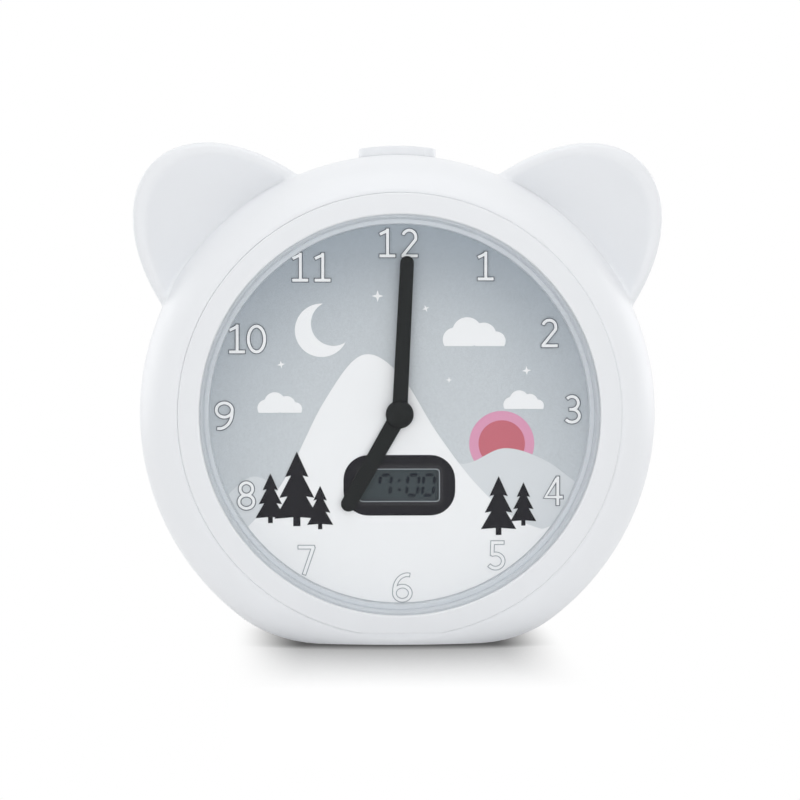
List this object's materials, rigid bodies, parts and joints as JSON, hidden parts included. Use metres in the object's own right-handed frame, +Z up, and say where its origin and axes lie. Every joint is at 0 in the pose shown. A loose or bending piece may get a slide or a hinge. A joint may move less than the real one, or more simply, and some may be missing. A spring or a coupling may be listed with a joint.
{
  "type": "alarm clock",
  "caption": "Round white alarm clock with two hollowed ears, a numbered dial with hands, a small digital display, a top push button and rear keys.",
  "frame": {"origin": "centre of the bounding box's bottom face, on the table", "axes": "+X to the viewer's right, +Y from the dial to the back, +Z up; the dial faces -Y"},
  "size_m": [0.1722, 0.0642, 0.1618],
  "materials": {
    "shell_white": "fine satin moulding",
    "ring_white": "satin moulding",
    "lens_clear": "clear polished acrylic",
    "surround_grey": "satin grey",
    "dial_print": "printed card face",
    "frame_grey": "satin",
    "feet_rubber": "matte",
    "screw_steel": "plated",
    "key_plastic": "satin",
    "chassis_plastic": "moulded",
    "lcd_face": "satin display glass",
    "connector_rubber": "silicone",
    "board_green": "solder mask",
    "chip_black": "epoxy",
    "board_white": "white solder mask",
    "led_warm": "phosphor dome",
    "movement_plastic": "moulded",
    "stator_steel": "stamped",
    "bobbin_plastic": "moulded",
    "coil_copper": "enamelled wire",
    "rotor_magnet": "magnet",
    "wheel_brass": "cut brass",
    "arbor_steel": "ground",
    "hand_black": "matte near-black paint",
    "cap_black": "satin near-black",
    "speaker_steel": "stamped",
    "cone_black": "pressed paper",
    "magnet_grey": "ferrite",
    "cell_wrap": "plain printed wrap",
    "contact_steel": "nickel plated",
    "switch_black": "moulded",
    "plunger_grey": "moulded",
    "lead_red": "insulation"
  },
  "bodies": {
    "case": {"front_shell": "shell_white", "rear_shell": "shell_white", "bezel_ring": "ring_white", "lens": "lens_clear", "dial_surround": "surround_grey", "dial_plate": "dial_print", "lcd_frame": "frame_grey", "rubber_feet": "feet_rubber", "case_screws": "screw_steel", "chassis": "chassis_plastic", "chassis_screws": "screw_steel", "lcd_glass": "lcd_face", "lcd_connectors": "connector_rubber", "display_board": "board_green", "display_chips": "chip_black", "board_screws": "screw_steel", "light_board": "board_white", "light_leds": "led_warm", "movement_plate": "movement_plastic", "movement_cover": "movement_plastic", "movement_screws": "screw_steel", "stator": "stator_steel", "coil_bobbin": "bobbin_plastic", "coil_winding": "coil_copper", "speaker_frame": "speaker_steel", "speaker_cone": "cone_black", "speaker_magnet": "magnet_grey", "speaker_clips": "screw_steel", "battery_cells": "cell_wrap", "battery_terminals": "contact_steel", "battery_springs": "contact_steel", "battery_contacts": "contact_steel", "key_board": "board_green", "key_switches": "switch_black", "snooze_board": "board_green", "snooze_switch": "switch_black", "leads": "lead_red"},
    "minute_train": {"minute_arbor": "arbor_steel", "minute_hand": "hand_black", "hand_cap": "cap_black"},
    "hour_train": {"hour_wheel": "wheel_brass", "hour_hand": "hand_black"},
    "motion_gear": {"motion_wheel": "wheel_brass"},
    "second_gear": {"second_wheel": "wheel_brass"},
    "first_gear": {"first_wheel": "wheel_brass"},
    "rotor_body": {"rotor": "rotor_magnet"},
    "snooze": {"snooze_button": "shell_white", "snooze_plunger": "plunger_grey"},
    "door": {"battery_door": "shell_white", "battery_door_screw": "screw_steel"},
    "slider": {"alarm_slider": "key_plastic"},
    "key_body_1": {"key_1": "key_plastic", "key_plunger_1": "plunger_grey"},
    "key_body_2": {"key_2": "key_plastic", "key_plunger_2": "plunger_grey"},
    "key_body_3": {"key_3": "key_plastic", "key_plunger_3": "plunger_grey"},
    "key_body_4": {"key_4": "key_plastic", "key_plunger_4": "plunger_grey"}
  },
  "joints": [
    {"name": "minute_turn", "type": "hinge", "parent": "case", "child": "minute_train", "pos_m": [0, -0.01728, 0.074], "axis": [0, 1, 0], "continuous": true},
    {"name": "hour_turn", "type": "hinge", "parent": "case", "child": "hour_train", "pos_m": [0, -0.01728, 0.074], "axis": [0, 1, 0], "continuous": true},
    {"name": "motion_turn", "type": "hinge", "parent": "case", "child": "motion_gear", "pos_m": [-0.0096, -0.01528, 0.074], "axis": [0, 1, 0], "continuous": true},
    {"name": "second_turn", "type": "hinge", "parent": "case", "child": "second_gear", "pos_m": [0, -0.01328, 0.0848], "axis": [0, 1, 0], "continuous": true},
    {"name": "first_turn", "type": "hinge", "parent": "case", "child": "first_gear", "pos_m": [0.00292, -0.01328, 0.09283], "axis": [0, 1, 0], "continuous": true},
    {"name": "rotor_turn", "type": "hinge", "parent": "case", "child": "rotor_body", "pos_m": [0.00417, -0.01328, 0.09992], "axis": [0, 1, 0], "continuous": true},
    {"name": "snooze_press", "type": "slide", "parent": "case", "child": "snooze", "axis": [0, 0, -1], "range_m": [0, 0.0014], "stiffness_N_per_m": 600, "springref_m": -0.002},
    {"name": "slider_move", "type": "slide", "parent": "case", "child": "slider", "axis": [1, 0, 0], "range_m": [0, 0.003]},
    {"name": "door_tilt", "type": "hinge", "parent": "case", "child": "door", "pos_m": [0, 0.03072, 0.0191], "axis": [-1, 0, 0], "range_deg": [0, 95]},
    {"name": "key_press_1", "type": "slide", "parent": "case", "child": "key_body_1", "axis": [0, -1, 0], "range_m": [0, 0.0006], "stiffness_N_per_m": 800, "springref_m": -0.001},
    {"name": "key_press_2", "type": "slide", "parent": "case", "child": "key_body_2", "axis": [0, -1, 0], "range_m": [0, 0.0006], "stiffness_N_per_m": 800, "springref_m": -0.001},
    {"name": "key_press_3", "type": "slide", "parent": "case", "child": "key_body_3", "axis": [0, -1, 0], "range_m": [0, 0.0006], "stiffness_N_per_m": 800, "springref_m": -0.001},
    {"name": "key_press_4", "type": "slide", "parent": "case", "child": "key_body_4", "axis": [0, -1, 0], "range_m": [0, 0.0006], "stiffness_N_per_m": 800, "springref_m": -0.001}
  ],
  "couplings": [
    {"joint": "hour_turn", "follows": "minute_turn", "ratio": 0.083333},
    {"joint": "motion_turn", "follows": "minute_turn", "ratio": -0.33333},
    {"joint": "second_turn", "follows": "minute_turn", "ratio": -5},
    {"joint": "first_turn", "follows": "minute_turn", "ratio": 18.75},
    {"joint": "rotor_turn", "follows": "minute_turn", "ratio": -93.75}
  ]
}
